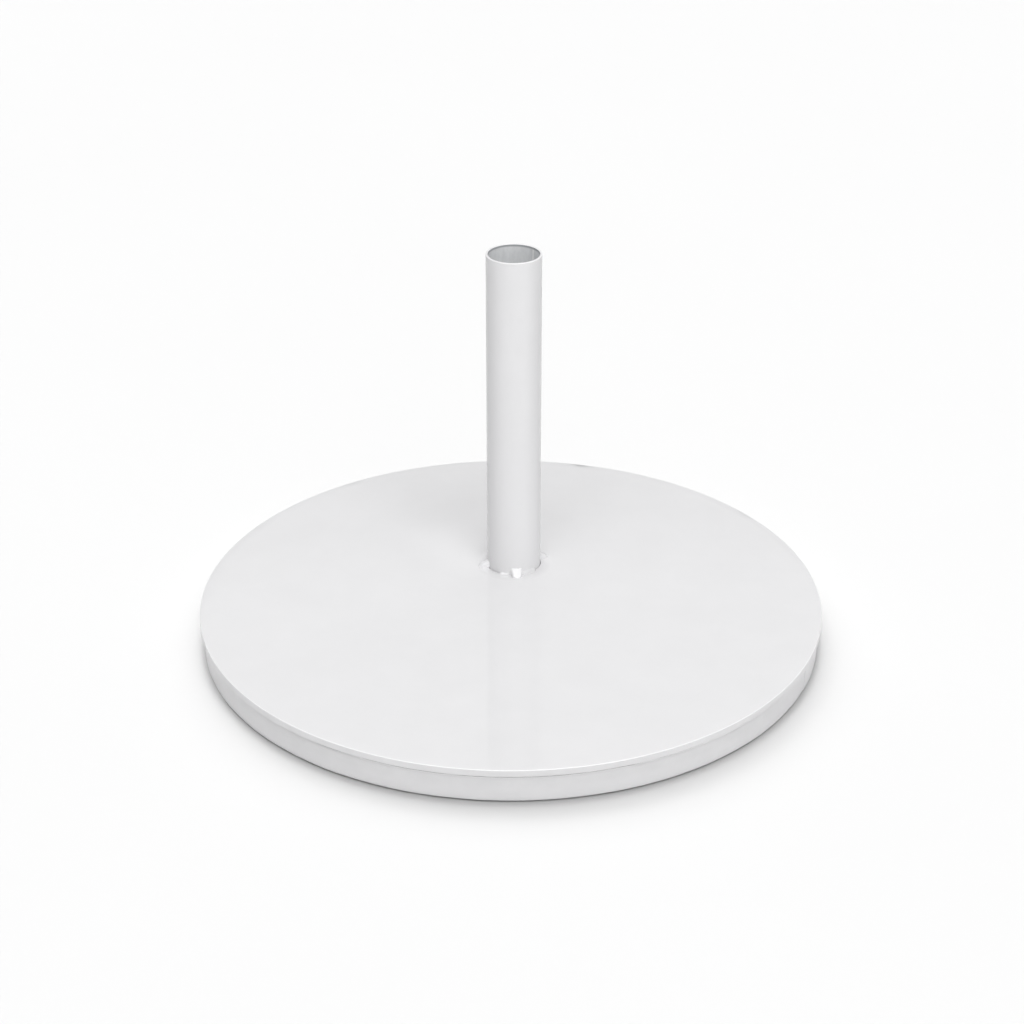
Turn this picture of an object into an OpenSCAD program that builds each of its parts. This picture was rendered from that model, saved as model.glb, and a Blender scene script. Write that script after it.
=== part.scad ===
// Free-standing parasol base.
// A round steel plate stands on a rim rolled from flat bar. A socket tube passes through the
// plate and is welded to it above and below. Concrete ballast fills the pan under the plate,
// and a screwed cover with rubber feet closes it.
// The tube stands behind the plate's centre.
// Millimetres, +Z up. The origin is on the ground under the plate's centre, and -Y is the front.

/* [Top plate] */
// Diameter of the plate
plate_d = 600; // [500:10:700]
// Thickness of the plate
plate_t = 7; // [4:0.5:10]
// Radius of the plate's eased edges
plate_edge_r = 1.5; // [0.5:0.25:1.75]
// Clearance between the tube and its hole in the plate
plate_hole_gap = 1; // [0.5:0.25:1.5]

/* [Rim] */
// Height of the flat bar that is rolled into the rim
rim_h = 27; // [22:1:40]
// Thickness of the flat bar
rim_t = 5; // [4:1:8]
// Distance from the plate's edge in to the rim's outer face
rim_inset = 3; // [0:0.5:6]
// Radius of the rim's eased outer edges
rim_edge_r = 1.5; // [0.5:0.25:1.75]
// Direction of the rim's butt joint, in degrees from +X
butt_angle = -21; // [-180:1:180]
// Width of the rim's butt joint
butt_gap = 1.6; // [0.8:0.2:3]

/* [Socket tube] */
// Outside diameter of the tube
tube_d = 53; // [46:1:60]
// Wall thickness of the tube
tube_wall = 2.25; // [1.5:0.25:3]
// Height of the tube's mouth above the plate
tube_rise = 327; // [200:1:500]
// Distance from the plate's centre back to the tube's axis
tube_back = 70; // [0:5:120]
// Radius of the eased edges at the mouth
mouth_edge_r = 0.6; // [0.2:0.1:0.7]
// Thickness of the disc that closes the tube's foot, where the pole stands
stop_t = 3; // [2:0.5:4]
// Diameter of the drain hole in that disc
stop_drain_d = 12; // [6:1:16]

/* [Welds] */
// Length of a tack weld, out from the tube
tack_l = 10; // [6:1:14]
// Width of a tack weld where it meets the tube
tack_w = 10; // [8:0.5:10.5]
// Width of a tack weld at its outer end
tack_tip_w = 7.5; // [4:0.5:8]
// Height of a tack weld where it meets the tube
tack_h = 6.5; // [4:0.5:9]
// Height of a tack weld at its outer end
tack_tip_h = 1.5; // [0.5:0.5:3]
// Leg of the fillet under the plate, around the tube
root_leg = 5; // [3:0.5:6]
// Leg of the fillets that hold the rim
stitch_leg = 4; // [2:0.5:6]
// Number of fillets that hold the rim
stitch_count = 12; // [6:1:18]
// Arc of each of those fillets, in degrees
stitch_arc = 10; // [4:1:15]

/* [Underside] */
// Number of rubber feet
foot_count = 6; // [3:1:8]
// Diameter of a foot
foot_d = 36; // [30:1:44]
// Thickness of a foot
foot_t = 6; // [6:0.5:8]
// How far the feet stand below the rim
foot_drop = 1; // [1:0.5:4]
// Distance from the rim to the edge of a foot
foot_margin = 13; // [8:1:60]
// Thickness of the bottom cover
cover_t = 2; // [1:0.5:3]
// Gap between the cover and the rim
cover_gap = 1.5; // [0.5:0.5:4]
// Diameter of the drain hole in the cover
cover_drain_d = 16; // [10:1:24]

/* [Hidden] */
$fn = 96;

// Heights, from the ground up
rim_z = foot_drop;
cover_z = foot_t;
inside_z = cover_z + cover_t;
plate_z = rim_z + rim_h;
top_z = plate_z + plate_t;
mouth_z = top_z + tube_rise;
// The tube and the ballast stop short of the cover, which the standoffs carry
fill_z = inside_z + 1;

// Radii
plate_r = plate_d / 2;
rim_r = plate_r - rim_inset;
rim_in_r = rim_r - rim_t;
tube_r = tube_d / 2;
bore_r = tube_r - tube_wall;
cover_r = rim_in_r - cover_gap;
foot_r = rim_in_r - foot_margin - foot_d / 2;
butt_arc = butt_gap / rim_r * 180 / PI;

// Tack welds stand about a quarter turn apart, as set by hand: degrees from +X
tack_angles = [22, 110, 198, 277];
// Short fillets beside the front tack: [first angle, last angle, leg]
foot_beads = [[238, 262, 2], [292, 324, 3.5]];

// The disc under the tube's foot stands out around it, for the fillet that joins them
stop_r = tube_r + 4;
stop_weld_leg = 3;
tube_z = fill_z + stop_t;

// M5 screw, washer and coupling nut
screw_r = 2.5;
screw_l = 16;
screw_head_r = 4.75;
screw_head_h = 2.75;
socket_flats = 3;
socket_depth = 1.6;
washer_r = 5;
washer_t = 1;
hole_r = 2.75;
nut_flats = 8;
nut_thread_r = 2.55;
nut_thread_l = 14;
nut_weld_h = 3;
// The recess in a foot leaves a web of rubber for the washer to press on
foot_recess_r = 6;
foot_web_t = 1.5;
foot_edge_r = 1;
washer_z = foot_t - foot_web_t - washer_t;

paint = [0.93, 0.93, 0.93];
weld_paint = [0.96, 0.96, 0.96];
zinc = [0.70, 0.72, 0.74];
raw_steel = [0.45, 0.45, 0.47];
concrete_grey = [0.62, 0.61, 0.58];
black_rubber = [0.08, 0.08, 0.08];

function corner_r(flats) = flats / 2 / cos(30);

module at_tube() {
    translate([0, tube_back, 0]) children();
}

module at_feet() {
    for (i = [0 : foot_count - 1])
        rotate([0, 0, 360 / foot_count * (i + 0.5)])
            translate([foot_r, 0, 0]) children();
}

module hexagon(flats, h) {
    cylinder(r = corner_r(flats), h = h, $fn = 6);
}

module washer_shape(r, hole, h) {
    difference() {
        cylinder(r = r, h = h);
        translate([0, 0, -1]) cylinder(r = hole, h = h + 2);
    }
}

// Half section of a flat ring whose two outer edges are eased with arcs
module eased_section(r_in, r_out, z0, z1, ease) {
    translate([r_in, z0]) square([r_out - ease - r_in, z1 - z0]);
    translate([r_in, z0 + ease]) square([r_out - r_in, z1 - z0 - 2 * ease]);
    for (z = [z0 + ease, z1 - ease])
        translate([r_out - ease, z]) circle(r = ease);
}

// Fillet weld around the axis, in the corner between a wall of radius r and a face at z.
// legs: [out from the wall, along the wall]; a negative leg turns it inward or downward
module fillet(r, z, legs, from = 0, arc = 360) {
    rotate([0, 0, from]) rotate_extrude(angle = arc)
        polygon([[r, z], [r + legs[0], z], [r, z + legs[1]]]);
}

module top_plate() {
    color(paint) difference() {
        rotate_extrude() eased_section(0, plate_r, plate_z, top_z, plate_edge_r);
        at_tube() translate([0, 0, plate_z - 1])
            cylinder(r = tube_r + plate_hole_gap, h = plate_t + 2);
    }
}

module rim_band() {
    color(paint) rotate([0, 0, butt_angle + butt_arc / 2])
        rotate_extrude(angle = 360 - butt_arc)
            eased_section(rim_in_r, rim_r, rim_z, plate_z, rim_edge_r);
}

// Fills the butt joint, ground back a little below the rim's face
module rim_butt_weld() {
    sink = 0.3;
    color(weld_paint) rotate([0, 0, butt_angle - butt_arc / 2])
        rotate_extrude(angle = butt_arc)
            eased_section(rim_in_r, rim_r - sink, rim_z + sink, plate_z, rim_edge_r);
}

module stitch_shapes() {
    for (i = [0 : stitch_count - 1])
        fillet(rim_in_r, plate_z, [-stitch_leg, -stitch_leg],
               360 / stitch_count * i - stitch_arc / 2, stitch_arc);
}

module rim_stitch_welds() {
    color(raw_steel) stitch_shapes();
}

module socket_tube() {
    color(paint) at_tube() rotate_extrude() {
        translate([bore_r, tube_z])
            square([tube_wall, mouth_z - mouth_edge_r - tube_z]);
        translate([bore_r + mouth_edge_r, tube_z])
            square([tube_wall - 2 * mouth_edge_r, mouth_z - tube_z]);
        for (r = [bore_r + mouth_edge_r, tube_r - mouth_edge_r])
            translate([r, mouth_z - mouth_edge_r]) circle(r = mouth_edge_r);
    }
}

// One tack weld: a wedge that narrows and falls away from the tube
module tack() {
    root = tube_r - 2;
    tip = tube_r + tack_l;
    difference() {
        intersection() {
            linear_extrude(tack_h)
                polygon([[root, -tack_w / 2], [tip, -tack_tip_w / 2],
                         [tip, tack_tip_w / 2], [root, tack_w / 2]]);
            rotate([90, 0, 0]) translate([0, 0, -tack_w])
                linear_extrude(2 * tack_w)
                    polygon([[root, 0], [tip, 0], [tip, tack_tip_h],
                             [tube_r, tack_h], [root, tack_h]]);
        }
        translate([0, 0, -1]) cylinder(r = tube_r, h = tack_h + 2);
    }
}

module tube_tack_welds() {
    color(weld_paint) at_tube() for (a = tack_angles)
        rotate([0, 0, a]) translate([0, 0, top_z]) tack();
}

module tube_foot_beads() {
    color(weld_paint) at_tube() for (b = foot_beads)
        fillet(tube_r, top_z, [b[2], b[2]], b[0], b[1] - b[0]);
}

module tube_root_weld() {
    color(raw_steel) at_tube() fillet(tube_r, plate_z, [root_leg, -root_leg]);
}

module pole_stop() {
    color(zinc) at_tube() translate([0, 0, fill_z])
        washer_shape(stop_r, stop_drain_d / 2, stop_t);
}

module pole_stop_weld() {
    color(raw_steel) at_tube() fillet(tube_r, tube_z, [stop_weld_leg, stop_weld_leg]);
}

// The fillet that joins a coupling nut to the plate, with the nut's own body
module nut_foot() {
    base_r = corner_r(nut_flats);
    translate([0, 0, plate_z - nut_weld_h])
        cylinder(r1 = base_r + 0.2, r2 = base_r + nut_weld_h, h = nut_weld_h);
}

module nut_blank() {
    translate([0, 0, inside_z]) hexagon(nut_flats, plate_z - inside_z);
}

module threaded_standoffs() {
    color(zinc) at_feet() difference() {
        nut_blank();
        translate([0, 0, inside_z - 1]) cylinder(r = nut_thread_r, h = nut_thread_l + 1);
    }
}

module standoff_welds() {
    color(raw_steel) at_feet() difference() {
        nut_foot();
        nut_blank();
    }
}

// Cast around everything that hangs below the plate
module concrete_ballast() {
    color(concrete_grey) difference() {
        translate([0, 0, fill_z]) cylinder(r = rim_in_r, h = plate_z - fill_z);
        at_tube() {
            translate([0, 0, fill_z]) cylinder(r = tube_r, h = plate_z - fill_z + 1);
            translate([0, 0, fill_z - 1]) cylinder(r = stop_r, h = stop_t + 1);
            fillet(tube_r, tube_z, [stop_weld_leg, stop_weld_leg]);
            fillet(tube_r, plate_z, [root_leg, -root_leg]);
        }
        stitch_shapes();
        at_feet() {
            nut_foot();
            nut_blank();
        }
    }
}

module bottom_cover() {
    color(zinc) difference() {
        translate([0, 0, cover_z]) cylinder(r = cover_r, h = cover_t);
        at_tube() translate([0, 0, cover_z - 1])
            cylinder(r = cover_drain_d / 2, h = cover_t + 2);
        at_feet() translate([0, 0, cover_z - 1]) cylinder(r = hole_r, h = cover_t + 2);
    }
}

module rubber_feet() {
    color(black_rubber) at_feet() difference() {
        rotate_extrude() {
            square([foot_d / 2, foot_t - foot_edge_r]);
            square([foot_d / 2 - foot_edge_r, foot_t]);
            translate([foot_d / 2 - foot_edge_r, foot_t - foot_edge_r])
                circle(r = foot_edge_r);
        }
        translate([0, 0, -1]) cylinder(r = hole_r, h = foot_t + 2);
        translate([0, 0, -1]) cylinder(r = foot_recess_r, h = foot_t - foot_web_t + 1);
    }
}

module foot_washers() {
    color(zinc) at_feet() translate([0, 0, washer_z])
        washer_shape(washer_r, hole_r, washer_t);
}

// Button-head screw, head down
module screw() {
    dome_r = (screw_head_r * screw_head_r + screw_head_h * screw_head_h)
             / (2 * screw_head_h);
    translate([0, 0, washer_z]) cylinder(r = screw_r, h = screw_l);
    difference() {
        intersection() {
            translate([0, 0, washer_z - screw_head_h + dome_r]) sphere(r = dome_r);
            translate([0, 0, washer_z - screw_head_h])
                cylinder(r = screw_head_r, h = screw_head_h);
        }
        translate([0, 0, washer_z - screw_head_h - 1])
            hexagon(socket_flats, socket_depth + 1);
    }
}

module foot_screws() {
    color(zinc) at_feet() screw();
}

top_plate();
rim_band();
rim_butt_weld();
rim_stitch_welds();
socket_tube();
tube_tack_welds();
tube_foot_beads();
tube_root_weld();
pole_stop();
pole_stop_weld();
concrete_ballast();
threaded_standoffs();
standoff_welds();
bottom_cover();
rubber_feet();
foot_washers();
foot_screws();
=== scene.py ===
import math

import bpy
from mathutils import Matrix, Vector, noise


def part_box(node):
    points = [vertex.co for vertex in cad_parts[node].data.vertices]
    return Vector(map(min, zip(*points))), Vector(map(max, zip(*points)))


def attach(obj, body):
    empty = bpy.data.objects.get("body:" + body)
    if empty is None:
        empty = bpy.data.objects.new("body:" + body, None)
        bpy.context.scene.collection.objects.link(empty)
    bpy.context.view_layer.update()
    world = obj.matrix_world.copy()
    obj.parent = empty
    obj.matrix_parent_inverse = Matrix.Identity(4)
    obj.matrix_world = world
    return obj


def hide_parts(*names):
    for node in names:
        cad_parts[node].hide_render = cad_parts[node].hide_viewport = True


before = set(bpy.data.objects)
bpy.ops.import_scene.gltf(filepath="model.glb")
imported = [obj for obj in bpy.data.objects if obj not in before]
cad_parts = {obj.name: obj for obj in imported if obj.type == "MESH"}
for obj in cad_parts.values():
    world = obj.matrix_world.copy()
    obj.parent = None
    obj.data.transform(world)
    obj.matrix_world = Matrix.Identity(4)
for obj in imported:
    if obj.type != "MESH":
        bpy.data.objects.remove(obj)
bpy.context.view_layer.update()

MM = 0.001
FULL_TURN = 2 * math.pi


# ---- places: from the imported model, and the sizes that its boxes do not give -----------

plate_lo, plate_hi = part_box("top_plate")
tube_lo, tube_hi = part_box("socket_tube")

PLATE_R = 300 * MM
PLATE_Z = plate_lo.z
TOP_Z = plate_hi.z
HOLE_R = 27.2 * MM
RIM_R = 297 * MM
RIM_T = 5 * MM
RIM_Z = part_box("rim_band")[0].z
TUBE_R = (tube_hi.x - tube_lo.x) / 2
TUBE_Y = (tube_lo.y + tube_hi.y) / 2
TUBE_WALL = 2.25 * MM
MOUTH_Z = tube_hi.z
JOINT_ANGLE = math.radians(-21)
FOOT_COUNT = 6


# ---- small helpers --------------------------------------------------------------------

def radians_apart(a, b):
    """Signed angle from b to a, between -pi and pi."""
    return (a - b + math.pi) % FULL_TURN - math.pi


def around(angle, cycles, seed, size):
    """Smooth noise that closes on itself after a full turn."""
    p = Vector((math.cos(angle), math.sin(angle), 0)) * cycles / 2
    return noise.noise(p + Vector((0, 0, seed))) * size


def nick(angle, at_degrees, width_degrees, size):
    """A short smooth bump in an edge."""
    t = radians_apart(angle, math.radians(at_degrees)) / math.radians(width_degrees)
    return size * math.exp(-t * t)


def arc(centre_r, centre_z, radius, first, last, steps):
    """Points (r, z) on an arc of a half section; angles in degrees, 0 outward, 90 up."""
    points = []
    for i in range(steps + 1):
        a = math.radians(first + (last - first) * i / steps)
        points.append((centre_r + radius * math.cos(a), centre_z + radius * math.sin(a)))
    return points


def spaced(first, last, steps):
    """Points (r, z) on a straight line, with its first point left out."""
    return [(first[0] + (last[0] - first[0]) * i / steps,
             first[1] + (last[1] - first[1]) * i / steps) for i in range(1, steps + 1)]


def make_object(name, verts, faces, smooth=True):
    mesh = bpy.data.meshes.new(name)
    mesh.from_pydata(verts, [], faces)
    mesh.validate()
    if smooth:
        mesh.polygons.foreach_set("use_smooth", [True] * len(mesh.polygons))
    obj = bpy.data.objects.new(name, mesh)
    bpy.context.scene.collection.objects.link(obj)
    return obj


def lathe(name, section, steps, centre=(0, 0), shape=None, start=0.0, turn=FULL_TURN):
    """Revolves a closed half section of (r, z) points round a centre. shape gets a point's
    angle, index, r, z and centre y, and returns a new r, z and centre y. A part turn gets
    flat ends."""
    whole = turn >= FULL_TURN - 1e-9
    columns = steps if whole else steps + 1
    verts = []
    for j in range(columns):
        angle = start + turn * j / steps
        for i, (r, z) in enumerate(section):
            cy = centre[1]
            if shape:
                r, z, cy = shape(angle, i, r, z, cy)
            verts.append((centre[0] + r * math.cos(angle), cy + r * math.sin(angle), z))
    n = len(section)
    faces = []
    for j in range(steps):
        a, b = j * n, ((j + 1) % columns) * n
        for i in range(n):
            k = (i + 1) % n
            faces.append((a + i, b + i, b + k, a + k))
    if not whole:
        faces.append(tuple(range(n)))
        faces.append(tuple(reversed(range((columns - 1) * n, columns * n))))
    return make_object(name, verts, faces)


def join_meshes(name, objs):
    """One object from several, which are removed."""
    verts, faces = [], []
    for o in objs:
        base = len(verts)
        verts += [tuple(v.co) for v in o.data.vertices]
        faces += [tuple(base + k for k in p.vertices) for p in o.data.polygons]
        bpy.data.objects.remove(o)
    return make_object(name, verts, faces)


# ---- materials ------------------------------------------------------------------------

class Nodes:
    """A short way to build a node tree."""

    def __init__(self, name):
        self.material = bpy.data.materials.new(name)
        self.material.use_nodes = True
        self.tree = self.material.node_tree
        self.shader = self.tree.nodes["Principled BSDF"]

    def add(self, kind, inputs=None, **values):
        node = self.tree.nodes.new(kind)
        for key, value in values.items():
            setattr(node, key, value)
        for key, value in (inputs or {}).items():
            if isinstance(value, bpy.types.NodeSocket):
                self.tree.links.new(value, node.inputs[key])
            else:
                node.inputs[key].default_value = value
        return node

    def place(self, scale=(1, 1, 1)):
        where = self.add("ShaderNodeTexCoord").outputs["Object"]
        return self.add("ShaderNodeMapping", {"Vector": where, "Scale": scale}).outputs[0]

    def noise(self, size_mm, detail=3.0, rough=0.5, stretch=(1, 1, 1)):
        """Cloud noise whose features are about size_mm across."""
        return self.add("ShaderNodeTexNoise", {
            "Vector": self.place(stretch), "Scale": 1 / (size_mm * MM),
            "Detail": detail, "Roughness": rough}).outputs["Fac"]

    def ramp(self, value, first, last, low, high, kind="LINEAR"):
        """Maps first..last of a value to low..high."""
        return self.add("ShaderNodeMapRange", {
            "Value": value, "From Min": first, "From Max": last,
            "To Min": low, "To Max": high}, interpolation_type=kind).outputs["Result"]

    def spread(self, factor, low, high):
        """Maps the middle range of a noise, where most of its values lie, to low..high."""
        return self.ramp(factor, 0.3, 0.7, low, high)

    def height(self):
        """The height above the ground of the point being shaded."""
        return self.add("ShaderNodeSeparateXYZ", {0: self.place()}).outputs["Z"]

    def share(self, value, part):
        """A fixed part of a value."""
        return self.add("ShaderNodeMath", {0: value, 1: part}, operation="MULTIPLY").outputs[0]

    def blend(self, factor, first, second):
        """Mixes two colours, each a triple or a socket."""
        node = self.add("ShaderNodeMix", {"Factor": factor}, data_type="RGBA")
        for socket, value in ((node.inputs[6], first), (node.inputs[7], second)):
            if isinstance(value, bpy.types.NodeSocket):
                self.tree.links.new(value, socket)
            else:
                socket.default_value = (*value, 1)
        return node.outputs[2]

    def bump(self, height, depth_mm, strength=1.0, below=None):
        inputs = {"Height": height, "Strength": strength, "Distance": depth_mm * MM}
        if below:
            inputs["Normal"] = below
        return self.add("ShaderNodeBump", inputs).outputs["Normal"]

    def link(self, **sockets):
        for key, value in sockets.items():
            socket = self.shader.inputs[key.replace("_", " ")]
            if isinstance(value, bpy.types.NodeSocket):
                self.tree.links.new(value, socket)
            else:
                socket.default_value = value


def neutral(tone):
    """The coat's colour: a white that leans very slightly to violet."""
    return (tone * 1.001, tone * 0.998, tone * 1.009)


def white_coat(name, tone=0.80, gloss=0.13, peel=0.012, cloud=0.012, cloud_mm=46,
               painted_light_below=None, low_z=None, high_z=None, painted_edge_shade=0.0, painted_light_pool=None):
    """Gloss white powder coat: faint clouding, a fine orange peel and a few dust nibs.
    Painted light: it is whiter from high_z down to low_z, and in a round patch given as
    (x, y, radius, tone). Painted shade: it is darker at a grazing angle."""
    m = Nodes(name)
    colour = m.blend(m.spread(m.noise(cloud_mm, 4, 0.6), 0, 1), neutral(tone * (1 - cloud)),
                     neutral(tone * (1 + cloud)))
    # painted shade: the coat turns greyer where it is seen at a grazing angle
    if painted_edge_shade:
        facing = m.add("ShaderNodeLayerWeight", {"Blend": 0.5}).outputs["Facing"]
        grazing = m.ramp(facing, 0.15, 1.0, 0.0, 1.0)
        colour = m.blend(grazing, colour, neutral(tone * (1 - painted_edge_shade)))
    # painted light: whiter from high_z down to low_z, in place of light bounced up from below
    if painted_light_below:
        low = m.ramp(m.height(), low_z, high_z, 1.0, 0.0)
        colour = m.blend(low, colour, neutral(painted_light_below))
    # painted light: a round patch of whiter coat
    if painted_light_pool:
        x, y, radius, painted_pool_tone = painted_light_pool
        away = m.add("ShaderNodeVectorMath", {0: m.place(), 1: (x, y, TOP_Z)},
                     operation="DISTANCE").outputs["Value"]
        inside = m.ramp(away, 0.0, radius, 1.0, 0.0, "SMOOTHSTEP")
        colour = m.blend(inside, colour, neutral(painted_pool_tone))
    patches = m.spread(m.noise(70, 3, 0.5), gloss * 0.9, gloss * 1.25)
    skin = m.bump(m.noise(2.6, 2, 0.5), peel)
    nibs = m.add("ShaderNodeTexVoronoi", {"Vector": m.place(), "Scale": 1 / (19 * MM)})
    specks = m.ramp(nibs.outputs["Distance"], 0.0, 0.03, 1.0, 0.0)
    m.link(Base_Color=colour, Roughness=patches, Normal=m.bump(specks, 0.05, 0.5, skin))
    m.shader.inputs["IOR"].default_value = 1.5
    return m.material


def bare_tube_wall(name, dark, light):
    """The tube's inside: dull zinc, greyer in patches and darker in a band just under the lip."""
    m = Nodes(name)
    clouds = m.spread(m.noise(8, 4, 0.65, (1, 1, 0.5)), 0, 1)
    colour = m.blend(clouds, dark, light)
    near_lip = m.ramp(m.height(), MOUTH_Z - 2.6 * MM, MOUTH_Z - 1.4 * MM, 0.0, 0.75)
    colour = m.blend(near_lip, colour, (0.28, 0.29, 0.31))
    rough = m.spread(m.noise(5, 3), 0.34, 0.52)
    m.link(Base_Color=colour, Roughness=rough, Normal=m.bump(m.noise(1.4, 3), 0.03))
    return m.material


def zinc_plating(name):
    """Bright zinc plate with a faint yellow and blue cast in places."""
    m = Nodes(name)
    tint = m.spread(m.noise(4, 3), 0, 1)
    colour = m.blend(tint, (0.62, 0.64, 0.68), (0.72, 0.71, 0.66))
    rough = m.spread(m.noise(1.5, 4), 0.22, 0.42)
    m.link(Base_Color=colour, Roughness=rough, Normal=m.bump(m.noise(0.6, 3), 0.01))
    m.shader.inputs["Metallic"].default_value = 1.0
    return m.material


def galvanised_sheet(name):
    """Hot-dip galvanised sheet: angular spangles, each with its own tone and gloss."""
    m = Nodes(name)
    cells = m.add("ShaderNodeTexVoronoi", {
        "Vector": m.place(), "Scale": 1 / (13 * MM), "Randomness": 1.0})
    tone = m.add("ShaderNodeSeparateColor", {"Color": cells.outputs["Color"]})
    fine = m.spread(m.noise(1.2, 3), 0, 1)
    colour = m.blend(tone.outputs["Red"], (0.46, 0.48, 0.50), (0.66, 0.68, 0.70))
    colour = m.blend(m.share(fine, 0.15), colour, (0.50, 0.51, 0.52))
    rough = m.ramp(tone.outputs["Green"], 0.0, 1.0, 0.28, 0.55)
    m.link(Base_Color=colour, Roughness=rough, Normal=m.bump(tone.outputs["Blue"], 0.02))
    m.shader.inputs["Metallic"].default_value = 0.9
    return m.material


def weld_metal(name):
    """Bare weld bead: dark steel with blue and brown heat tint and fine ripples."""
    m = Nodes(name)
    tint = m.spread(m.noise(6, 3), 0, 1)
    colour = m.blend(tint, (0.16, 0.15, 0.17), (0.30, 0.26, 0.22))
    m.link(Base_Color=colour, Roughness=m.spread(m.noise(2, 3), 0.35, 0.6),
           Normal=m.bump(m.noise(1.1, 3), 0.12))
    m.shader.inputs["Metallic"].default_value = 0.9
    return m.material


def concrete(name):
    """Cast concrete: cement paste with sand and pinholes."""
    m = Nodes(name)
    paste = m.blend(m.spread(m.noise(35, 4, 0.6), 0, 1), (0.36, 0.35, 0.33), (0.50, 0.49, 0.46))
    sand = m.spread(m.noise(1.3, 4, 0.7), 0, 1)
    colour = m.blend(m.share(sand, 0.4), paste, (0.30, 0.29, 0.27))
    holes = m.add("ShaderNodeTexVoronoi", {"Vector": m.place(), "Scale": 1 / (7 * MM)})
    pits = m.ramp(holes.outputs["Distance"], 0.05, 0.2, 0.0, 1.0)
    m.link(Base_Color=colour, Roughness=0.92, Normal=m.bump(pits, 0.6, 1, m.bump(sand, 0.2)))
    return m.material


def black_rubber(name):
    """Moulded rubber with a light bloom and a fine grain."""
    m = Nodes(name)
    bloom = m.spread(m.noise(8, 4, 0.6), 0, 1)
    colour = m.blend(bloom, (0.020, 0.020, 0.021), (0.042, 0.041, 0.040))
    m.link(Base_Color=colour, Roughness=m.spread(m.noise(3, 3), 0.6, 0.8),
           Normal=m.bump(m.noise(0.5, 2), 0.03))
    return m.material


def pale_floor(name):
    """Smooth matt studio floor."""
    m = Nodes(name)
    colour = m.blend(m.spread(m.noise(900, 2), 0, 1), (0.702,) * 3, (0.707,) * 3)
    m.link(Base_Color=colour, Roughness=0.9)
    m.shader.inputs["Specular IOR Level"].default_value = 0.0
    return m.material


# painted light: a whiter round patch behind and left of the tube's foot lifts the shadow the tube
# casts on the plate
COAT_PLATE = white_coat("white coat on the plate", tone=0.805, gloss=0.05, peel=0.002,
                        painted_light_pool=(-28 * MM, TUBE_Y + 45 * MM, 95 * MM, 0.89))
# painted shade: a darker copy of the same white coat, for the rim, the plate's edge face, the
# joint and the wide bead; painted light: whiter towards the rim's foot
COAT_RIM_PAINTED_SHADE = white_coat("white coat on the rim, painted darker as shade", tone=0.735, gloss=0.3, cloud=0.03, cloud_mm=24,
                      painted_light_below=0.80, low_z=RIM_Z, high_z=RIM_Z + 17 * MM)
# painted light: whiter towards the tube's foot; painted shade: greyer on the tube's sides
COAT_TUBE = white_coat("white coat on the tube", tone=0.815, gloss=0.2, painted_light_below=0.87,
                       low_z=TOP_Z, high_z=(TOP_Z + MOUTH_Z) / 2, painted_edge_shade=0.22)
# painted highlight: a brighter copy of the white coat for arrises, the tube's lip, the tacks and a
# thin bead
COAT_PAINTED_HIGHLIGHT = white_coat("thick coat on welds and arrises", tone=0.92, gloss=0.2, peel=0.02)
# painted shade: dark grey on the rim's bevel draws the shadow in the seam under the plate
COAT_SEAM_PAINTED_SHADE = white_coat("grey painted shade in the seam", tone=0.45, gloss=0.5, peel=0.03)
TUBE_INSIDE = bare_tube_wall("dull zinc inside the tube", (0.72, 0.73, 0.74),
                             (0.85, 0.86, 0.87))
# painted highlight: near-white on the seam ridge inside the tube
TUBE_SEAM_PAINTED_HIGHLIGHT = bare_tube_wall("painted highlight on the tube's inner seam", (0.93, 0.93, 0.93),
                           (0.97, 0.97, 0.97))
ZINC = zinc_plating("bright zinc")
GALVANISED = galvanised_sheet("spangled galvanised sheet")
WELD = weld_metal("bare weld")
CONCRETE = concrete("cast concrete")
RUBBER = black_rubber("black rubber")


def dress(obj, material, slot, *others):
    """Gives a piece its material. Each other is a material and a test on a face's centre;
    a face takes the last one whose test it passes."""
    obj.data.materials.clear()
    obj.data.materials.append(material)
    for index, (other, test) in enumerate(others, start=1):
        obj.data.materials.append(other)
        for face in obj.data.polygons:
            if test(face.center):
                face.material_index = index
    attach(obj, "root")


# ---- plate ----------------------------------------------------------------------------

# where the lower arris was ground: angle and width in degrees, height in mm
GRIND_MARKS = ((215, 0.9, 0.5), (218, 0.7, -0.5), (269, 0.8, -0.4),
               (291, 2.2, 0.45), (296, 1.2, -0.4), (315, 1.0, 0.45))


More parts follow.
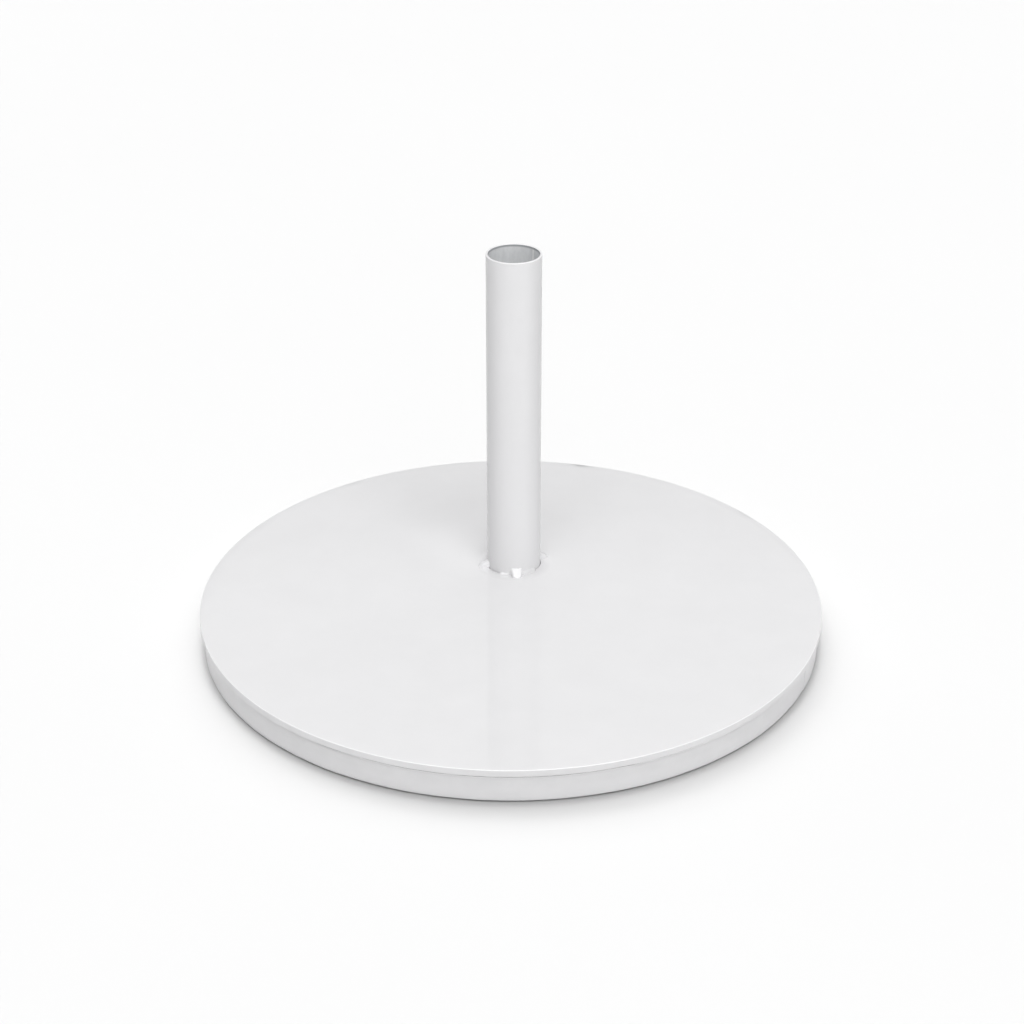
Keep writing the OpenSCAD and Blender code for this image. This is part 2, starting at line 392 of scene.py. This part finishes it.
def make_plate():
    """The top plate: a flat disc with rounded edges, ground by hand at the lower edge, and
    a plain hole for the tube behind its centre."""
    edge = 0.9 * MM
    chamfer = 0.3 * MM
    waviness, grinding, dishing = 0.22 * MM, 0.35 * MM, 0.05 * MM
    outside = PLATE_R - 0.25 * MM
    off_centre = 0.35 * MM
    wide_side = math.radians(215)
    section = [(HOLE_R, PLATE_Z), (HOLE_R, TOP_Z - chamfer), (HOLE_R + chamfer, TOP_Z)]
    inner_count = len(section)
    section += spaced((HOLE_R + chamfer, TOP_Z), (outside - edge, TOP_Z), 26)
    section += arc(outside - edge, TOP_Z - edge, edge, 80, 0, 8)
    section += arc(outside - edge, PLATE_Z + edge, edge, 0, -90, 8)
    section += spaced((outside - edge, PLATE_Z), (HOLE_R + 6 * MM, PLATE_Z), 4)
    first_r, last_r = HOLE_R, outside - edge

    def shape(angle, i, r, z, cy):
        share = min(max((r - first_r) / (last_r - first_r), 0), 1)
        cy = TUBE_Y * (1 - share)
        if r > last_r:
            low = z < (PLATE_Z + TOP_Z) / 2
            r += around(angle, 14, 1.7, waviness)
            if low:
                grind = around(angle, 40, 5.1, grinding)
                for at, wide, size in GRIND_MARKS:
                    grind += nick(angle, at, wide, size * MM)
                z += grind * min((r - last_r) / edge, 1)
        elif i < inner_count:
            r += off_centre * math.cos(angle - wide_side)
        elif i > inner_count and z > TOP_Z - 0.1 * MM:
            dip = noise.noise(Vector((math.cos(angle), math.sin(angle), 3)) * r * 9)
            z -= dishing * (1 + dip) * math.sin(math.pi * share)
        return min(r, PLATE_R), z, cy

    plate = lathe("steel_plate", section, 900, shape=shape)
    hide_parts("top_plate")
    # painted highlight on the upper arris (brighter coat); painted shade on the edge face below it
    # (the rim's darker coat)
    dress(plate, COAT_PLATE, "white_coat",
          (COAT_PAINTED_HIGHLIGHT, lambda c: math.hypot(c.x, c.y) > outside - edge * 0.8),
          (COAT_RIM_PAINTED_SHADE, lambda c: math.hypot(c.x, c.y) > outside - edge and c.z < TOP_Z - edge * 0.7))


# ---- rim ------------------------------------------------------------------------------

def make_rim():
    """Flat bar rolled into a ring. Its top edge is bevelled, and the bevel is painted dark grey
    as the shade of a thin dark seam under the plate. At the butt joint one end stands proud."""
    bevel, ease, lower = 2.5 * MM, 1.3 * MM, 2.0 * MM
    top = PLATE_Z - 0.25 * MM
    outside = RIM_R - 0.2 * MM
    inside = RIM_R - RIM_T
    gap = math.radians(0.32)
    proud_end, shy_end = 0.45 * MM, 0.35 * MM
    section = [(inside, RIM_Z), (inside, top), (outside - bevel, top)]
    section += spaced((outside - bevel, top), (outside - ease, top - bevel + ease), 3)
    section += arc(outside - ease, top - bevel, ease, 75, 0, 8)
    section += spaced((outside, top - bevel), (outside, RIM_Z + lower), 8)
    section += arc(outside - lower, RIM_Z + lower, lower, -10, -90, 6)

    def shape(angle, i, r, z, cy):
        after = (angle - JOINT_ANGLE) % FULL_TURN
        proud = proud_end * math.exp(-after / math.radians(4.5))
        shy = shy_end * math.exp(-(FULL_TURN - after) / math.radians(5))
        if r > inside + 0.1 * MM:
            r += around(angle, 22, 8.3, 0.25 * MM) + around(angle, 70, 2.2, 0.08 * MM)
        if z < RIM_Z + 0.5 * MM:
            z += max(around(angle, 50, 4.4, 0.3 * MM), 0)
        return r + proud - shy, z, cy

    # painted highlight: the eased arris at the front and right, where it catches the light, takes
    # the brighter coat
    def front_arris_highlight(c):
        return c.z > top - bevel and c.y < -0.45 * RIM_R and c.x > -0.4 * RIM_R

    rim = lathe("rim_ring", section, 1080, shape=shape,
                start=JOINT_ANGLE + gap / 2, turn=FULL_TURN - gap)
    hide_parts("rim_band")
    # painted highlight on the front arris; painted shade on the bevel above it
    dress(rim, COAT_RIM_PAINTED_SHADE, "white_coat", (COAT_PAINTED_HIGHLIGHT, front_arris_highlight),
          (COAT_SEAM_PAINTED_SHADE, lambda c: c.z > top - bevel + ease * 0.5))


def make_rim_joint():
    """The weld in the butt joint, filed down unevenly and sunk a little."""
    width, hollow, unevenness, wandering = 2.3 * MM, 0.5 * MM, 0.4 * MM, 0.35 * MM
    verts, faces = [], []
    rows, across = 30, 6
    inside = RIM_R - RIM_T + 0.3 * MM
    bottom, height = RIM_Z + 0.6 * MM, PLATE_Z - RIM_Z - 1.6 * MM
    for j in range(rows + 1):
        z = bottom + height * j / rows
        for i in range(across + 1):
            t = i / across * 2 - 1
            wander = noise.noise(Vector((j * 0.35, 2.0, 0))) * wandering
            sink = hollow + unevenness * noise.noise(Vector((j * 0.5, t, 7)))
            r = RIM_R - sink - hollow * t * t
            a = JOINT_ANGLE + (t * width / 2 + wander) / RIM_R
            verts.append((r * math.cos(a), r * math.sin(a), z))
        for t in (1, -1):
            a = JOINT_ANGLE + t * width / 2 / RIM_R
            verts.append((inside * math.cos(a), inside * math.sin(a), z))
    n = across + 3
    for j in range(rows):
        for i in range(n):
            k = (i + 1) % n
            faces.append((j * n + i, j * n + k, (j + 1) * n + k, (j + 1) * n + i))
    faces.append(tuple(reversed(range(n))))
    faces.append(tuple(range(rows * n, rows * n + n)))
    bead = make_object("rim_joint_weld", verts, faces)
    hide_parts("rim_butt_weld")
    # painted shade: the joint takes the rim's darker copy of the white coat
    dress(bead, COAT_RIM_PAINTED_SHADE, "white_coat")


# ---- tube -----------------------------------------------------------------------------

def make_tube():
    """The socket tube: drawn wall, eased lip and a weld seam down its inside."""
    lip = 0.8 * MM
    bore = TUBE_R - TUBE_WALL
    foot = tube_lo.z
    rings = 60
    section = [(TUBE_R, foot)]
    section += spaced((TUBE_R, foot), (TUBE_R, MOUTH_Z - lip), rings)
    section += arc(TUBE_R - lip, MOUTH_Z - lip, lip, 12, 90, 6)
    section += arc(bore + lip, MOUTH_Z - lip, lip, 90, 168, 6)
    section += [(bore, MOUTH_Z - lip)]
    inner_first = len(section)
    section += spaced((bore, MOUTH_Z - lip), (bore, foot), 40)
    seam_at, seam_height, unevenness = 44, 0.9 * MM, 0.03 * MM

    def shape(angle, i, r, z, cy):
        if i >= inner_first:
            r -= nick(angle, seam_at, 2.2, seam_height)
        elif i < rings:
            r += noise.noise(Vector((angle * 1.5, z * 25, 4))) * unevenness
        return r, z, cy

    tube = lathe("upright_tube", section, 288, centre=(0, TUBE_Y), shape=shape)
    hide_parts("socket_tube")

    def on_seam(c):
        return abs(math.degrees(math.atan2(c.y - TUBE_Y, c.x)) - seam_at) < 2.6

    def in_bore(c):
        return math.hypot(c.x, c.y - TUBE_Y) < bore + 0.25 * MM

    # painted highlight on the top of the lip and on the seam ridge inside
    dress(tube, COAT_TUBE, "white_coat", (COAT_PAINTED_HIGHLIGHT, lambda c: c.z > MOUTH_Z - 0.6 * MM),
          (TUBE_INSIDE, in_bore), (TUBE_SEAM_PAINTED_HIGHLIGHT, lambda c: in_bore(c) and on_seam(c)))


# ---- welds at the tube's foot ---------------------------------------------------------

def tack_weld(angle_degrees, length, root_width, tip_width, height, tip_height, round_tip, seed):
    """One tack: a blunt tongue of weld that runs out from the tube and falls away. Its last
    part, the share round_tip of its length, is rounded off."""
    along, across = 26, 24
    turn = Matrix.Rotation(math.radians(angle_degrees), 3, "Z")
    base = Vector((0, TUBE_Y, TOP_Z))
    buried, sunk, underside = 1.6 * MM, 0.3 * MM, 0.5 * MM
    start = TUBE_R - buried
    verts, faces = [], []
    for j in range(along + 1):
        s = j / along
        reach = start + (length + buried) * s
        half = (root_width + (tip_width - root_width) * s ** 0.8) / 2
        tall = tip_height + (height - tip_height) * (1 - s) ** 1.05
        if s > 1 - round_tip:
            fall = (s - 1 + round_tip) / round_tip
            half *= math.sqrt(max(1 - fall * fall, 0.0)) * 0.85 + 0.15 * (1 - fall)
            tall *= math.sqrt(max(1 - (fall * 0.96) ** 2, 0.0))
        for i in range(across + 1):
            t = i / across * 2 - 1
            crown = max(1 - abs(t) ** 9, 0.0) ** 0.5
            rough = 1 + 0.09 * noise.noise(Vector((s * 4, t * 2.5, seed)))
            y = half * t * (1 + 0.06 * noise.noise(Vector((s * 5, seed, t))))
            p = turn @ Vector((reach, y, tall * crown * rough - sunk))
            verts.append(tuple(base + p))
    n = across + 1
    for j in range(along):
        for i in range(across):
            faces.append((j * n + i, j * n + i + 1, (j + 1) * n + i + 1, (j + 1) * n + i))
    # the underside, sunk into the plate, closes the shape
    first_low = len(verts)
    for j in range(along + 1):
        for i in (0, across):
            x, y, z = verts[j * n + i]
            verts.append((x, y, TOP_Z - underside))
    for j in range(along):
        a, b = first_low + 2 * j, first_low + 2 * j + 2
        faces.append((j * n, (j + 1) * n, b, a))
        faces.append(((j + 1) * n + across, j * n + across, a + 1, b + 1))
        faces.append((a, b, b + 1, a + 1))
    faces.append((first_low, *range(n), first_low + 1))
    tip = first_low + 2 * along
    faces.append((tip, *range(along * n, (along + 1) * n), tip + 1)[::-1])
    return make_object("tack", verts, faces)


# angle in degrees, share of the length that is rounded off, and in mm: length, width at the
# tube and at the tip, height at the tube and at the tip
TACKS = (
    (278.2, 0.24, (8.8, 13.2, 8.2, 8.0, 1.7)),
    (198, 0.42, (10.0, 8.8, 7.0, 6.4, 1.9)),
    (22, 0.24, (9.6, 9.4, 6.4, 9.4, 1.2)),
    (110, 0.30, (9.0, 9.0, 7.0, 5.6, 1.4)),
)


def make_tacks():
    """Four tacks about a quarter turn apart. Each one came out different."""
    tacks = [tack_weld(angle, *[size * MM for size in sizes], round_tip, seed)
             for seed, (angle, round_tip, sizes) in enumerate(TACKS, start=1)]
    tack = join_meshes("tack_welds", tacks)
    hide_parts("tube_tack_welds")
    # painted highlight: the tacks take the brighter copy of the white coat
    dress(tack, COAT_PAINTED_HIGHLIGHT, "white_coat")


def fillet_bead(first, last, leg, fade_share, ripple_share, seed):
    """A short fillet of weld in the corner between tube and plate, with stacked ripples. Its
    ends fade out over a share of its length."""
    steps, across = int((last - first) * 6), 10
    sunk, root = 0.25 * MM, 0.6 * MM
    verts, faces = [], []
    for j in range(steps + 1):
        s = j / steps
        a = math.radians(first + (last - first) * s)
        fade = min(1, s / fade_share, (1 - s) / fade_share) ** 0.6 + 0.02
        ripple = 1 + ripple_share * (math.sin(j * 0.9) + noise.noise(Vector((s * 6, seed, 0))))
        size = leg * fade * ripple
        for i in range(across + 1):
            t = i / across
            bulge = 1 + 0.16 * math.sin(math.pi * t)
            r = TUBE_R - sunk + size * (1 - t) * bulge
            z = TOP_Z - sunk + size * t * bulge
            verts.append((r * math.cos(a), TUBE_Y + r * math.sin(a), z))
        r = TUBE_R - root
        verts.append((r * math.cos(a), TUBE_Y + r * math.sin(a), TOP_Z - root))
    n = across + 2
    for j in range(steps):
        for i in range(n):
            k = (i + 1) % n
            faces.append((j * n + i, j * n + k, (j + 1) * n + k, (j + 1) * n + i)[::-1])
    faces.append(tuple(range(n)))
    faces.append(tuple(reversed(range(steps * n, steps * n + n))))
    return make_object("bead", verts, faces)


def make_beads():
    """A thin rippled bead left of the front tack and a wide smooth one right of it."""
    beads = [fillet_bead(240, 263, 1.5 * MM, 0.30, 0.08, 5),
             fillet_bead(286, 325, 3.5 * MM, 0.14, 0.015, 9)]
    bead = join_meshes("fillet_beads", beads)
    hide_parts("tube_foot_beads")
    # painted shade: the wide bead takes the rim's darker coat; painted highlight: the thin bead,
    # on the left, takes the brighter coat
    dress(bead, COAT_RIM_PAINTED_SHADE, "white_coat", (COAT_PAINTED_HIGHLIGHT, lambda c: c.x < 0))


# ---- underside ------------------------------------------------------------------------

def make_feet():
    """Moulded rubber feet with a rounded edge, a screw recess and two grip grooves."""
    lo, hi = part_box("rubber_feet")
    foot_r = 18 * MM
    ring_r = hi.y - foot_r
    thick = hi.z - lo.z
    hole, recess, web, ease = 2.75 * MM, 6 * MM, 1.5 * MM, 0.4 * MM
    edge, groove = 1 * MM, 0.5 * MM
    section = [(hole, thick), (hole, thick - web), (recess - ease, thick - web),
               (recess, thick - web - ease), (recess, ease), (recess + ease, 0)]
    for r in (9.5 * MM, 12.5 * MM):
        section += [(r - groove, 0), (r - groove / 2, groove), (r + groove / 2, groove),
                    (r + groove, 0)]
    section += arc(foot_r - edge, edge, edge, -90, 0, 5)
    section += arc(foot_r - edge, thick - edge, edge, 0, 90, 5)
    feet = []
    for k in range(FOOT_COUNT):
        a = FULL_TURN * (k + 0.5) / FOOT_COUNT
        feet.append(lathe("foot", section, 72,
                          centre=(ring_r * math.cos(a), ring_r * math.sin(a))))
    foot = join_meshes("foot_pads", feet)
    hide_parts("rubber_feet")
    dress(foot, RUBBER, "black_rubber")


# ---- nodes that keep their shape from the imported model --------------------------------

def finish_cad_nodes():
    """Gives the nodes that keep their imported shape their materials."""
    looks = {
        "rim_stitch_welds": WELD, "tube_root_weld": WELD, "pole_stop_weld": WELD,
        "standoff_welds": WELD, "pole_stop": ZINC, "threaded_standoffs": ZINC,
        "foot_washers": ZINC, "foot_screws": ZINC, "bottom_cover": GALVANISED,
        "concrete_ballast": CONCRETE,
    }
    for node, material in looks.items():
        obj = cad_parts[node]
        obj.data.materials.clear()
        obj.data.materials.append(material)


# ---- floor, light and camera ----------------------------------------------------------

def make_floor():
    """A wide, level floor."""
    half = 9.0
    floor = make_object("floor", [(-half, -half, 0), (half, -half, 0), (half, half, 0),
                                  (-half, half, 0)], [(0, 1, 2, 3)], smooth=False)
    floor.data.materials.append(pale_floor("pale studio floor"))


def between(tree, value, first, last, low, high):
    """A smooth step of a value, from low to high."""
    step = tree.nodes.new("ShaderNodeMapRange")
    step.interpolation_type = "SMOOTHSTEP"
    for key, number in (("From Min", first), ("From Max", last), ("To Min", low),
                        ("To Max", high)):
        step.inputs[key].default_value = number
    tree.links.new(value, step.inputs["Value"])
    return step.outputs["Result"]


def math_node(tree, operation, first, second):
    """Adds or multiplies two values, each a number or a socket."""
    node = tree.nodes.new("ShaderNodeMath")
    node.operation = operation
    for socket, value in zip(node.inputs, (first, second)):
        if isinstance(value, bpy.types.NodeSocket):
            tree.links.new(value, socket)
        else:
            socket.default_value = value
    return node.outputs[0]


def sky(walls, backdrop, diffuser, upper):
    """The studio surround: plain walls, and behind the object a lit backdrop that is brighter
    above the edge of the overhead diffuser. Its mirror image lies on the glossy plate."""
    world = bpy.data.worlds.new("studio surround")
    world.use_nodes = True
    bpy.context.scene.world = world
    tree = world.node_tree
    where = tree.nodes.new("ShaderNodeTexCoord").outputs["Generated"]
    parts = tree.nodes.new("ShaderNodeSeparateXYZ")
    tree.links.new(where, parts.inputs[0])

    def rise(first, last, strength):
        """Brightness that comes in between two elevations in degrees."""
        return between(tree, parts.outputs["Z"], math.sin(math.radians(first)),
                       math.sin(math.radians(last)), 0, strength)

    glow = math_node(tree, "ADD", rise(14, 24, backdrop), rise(26.8, 29.6, diffuser))
    glow = math_node(tree, "ADD", glow, rise(28, 36, upper))
    behind = between(tree, parts.outputs["Y"], 0.60, 0.80, 0, 1)
    total = math_node(tree, "ADD", math_node(tree, "MULTIPLY", glow, behind), walls)
    tree.links.new(total, tree.nodes["Background"].inputs["Strength"])
    tree.nodes["Background"].inputs["Color"].default_value = (1, 1, 1, 1)


def lamp(name, azimuth, elevation, width, strength, only):
    """A distant soft light. Azimuth is counted from the front towards the right. The lower
    ones leave no mirror image on the plate."""
    data = bpy.data.lights.new(name, "SUN")
    data.energy = strength
    data.angle = math.radians(width)
    obj = bpy.data.objects.new(name, data)
    a, e = math.radians(azimuth), math.radians(elevation)
    towards = Vector((math.cos(e) * math.sin(a), -math.cos(e) * math.cos(a), math.sin(e)))
    obj.rotation_euler = towards.to_track_quat("Z", "Y").to_euler()
    bpy.context.scene.collection.objects.link(obj)
    obj.visible_glossy = elevation > LOW_LAMP
    obj.light_linking.receiver_collection = only


def make_light():
    """The object and the floor are lit apart, as when a backdrop has its own lights."""
    sky(walls=0.16, backdrop=0.315, diffuser=0.34, upper=0.16)
    floor = bpy.data.objects["floor"]
    groups = {}
    for name, state in (("floor alone", "INCLUDE"), ("all but the floor", "EXCLUDE")):
        groups[name] = bpy.data.collections.new(name)
        groups[name].objects.link(floor)
        groups[name].collection_objects[0].light_linking.link_state = state
    for name, place in STUDIO_LAMPS.items():
        lamp(name, *place, groups["all but the floor"])
    for name, place in FLOOR_LAMPS.items():
        lamp(name, *place, groups["floor alone"])


# lamps up to this elevation, in degrees, count as low
LOW_LAMP = 45

# azimuth, elevation and width in degrees, and strength
STUDIO_LAMPS = {
    "overhead diffuser": (0, 89, 84, 1.20),
    "high front light": (10, 55, 52, 1.17),
    "front light": (24, 33, 44, 0.34),
    "low right fill": (33, 13, 26, 0.19),
    "left fill": (325, 33, 30, 0.10),
    "back left fill": (235, 33, 34, 0.08),
    "back right fill": (146, 33, 24, 0.05),
    "right fill": (80, 38, 34, 0.06),
    "high back light": (180, 62, 40, 0.08),
}
FLOOR_LAMPS = {
    "overhead floor light": (0, 89, 84, 0.69),
    "steep floor light": (180, 84, 12, 0.82),
    "front floor light": (10, 55, 50, 0.85),
    "high back floor light": (195, 64, 36, 0.78),
    "back floor light": (180, 42, 40, 0.35),
    "left floor light": (225, 42, 36, 0.64),
    "right floor light": (135, 42, 36, 0.28),
}


def make_camera():
    """A short telephoto from the front, a touch to the right, looking down."""
    distance, height = 1858.6 * MM, 1091.5 * MM
    pitch, orbit, aside = 0.4786, math.radians(2.37), 1.1 * MM
    data = bpy.data.cameras.new("camera")
    data.sensor_width = 36
    data.lens = 77.34
    camera = bpy.data.objects.new("camera", data)
    camera.location = Matrix.Rotation(orbit, 3, "Z") @ Vector((aside, -distance, height))
    camera.rotation_euler = (math.pi / 2 - pitch, 0, orbit)
    bpy.context.scene.collection.objects.link(camera)
    bpy.context.scene.camera = camera


make_plate()
make_rim()
make_rim_joint()
make_tube()
make_tacks()
make_beads()
make_feet()
finish_cad_nodes()
make_floor()
make_light()
make_camera()

view = bpy.context.scene.view_settings
view.view_transform = "Standard"
view.look = "None"
view.exposure = 0.0
